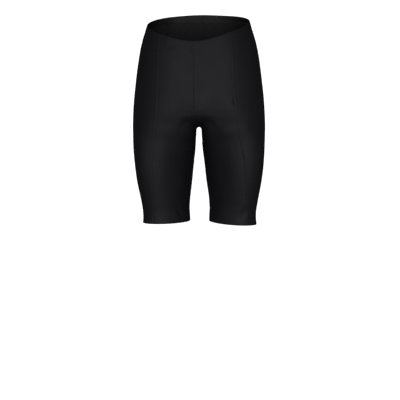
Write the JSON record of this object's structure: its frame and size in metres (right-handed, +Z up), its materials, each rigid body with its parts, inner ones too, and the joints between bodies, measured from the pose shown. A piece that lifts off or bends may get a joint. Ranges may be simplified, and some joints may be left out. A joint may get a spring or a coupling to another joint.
{
  "type": "cycling shorts",
  "caption": "Close-fitting stretch cycling shorts with long legs, side panels and elastic at the waist and hems, worn and hollow.",
  "frame": {"origin": "middle of the waist opening, where the wearer holds the garment up", "axes": "+Z up through the waist opening, -Y to the wearer's front, +X to the wearer's left"},
  "size_m": [0.3491, 0.2369, 0.5551],
  "materials": {
    "cloth": "black nylon and elastane knit with a low satin sheen",
    "elastic": "black knitted elastic, matt"
  },
  "bodies": {
    "root": {"front_left": "cloth", "front_right": "cloth", "side_left": "cloth", "side_right": "cloth", "back_left": "cloth", "back_right": "cloth", "waist_elastic": "elastic", "hem_elastic_left": "elastic", "hem_elastic_right": "elastic"}
  },
  "joints": []
}
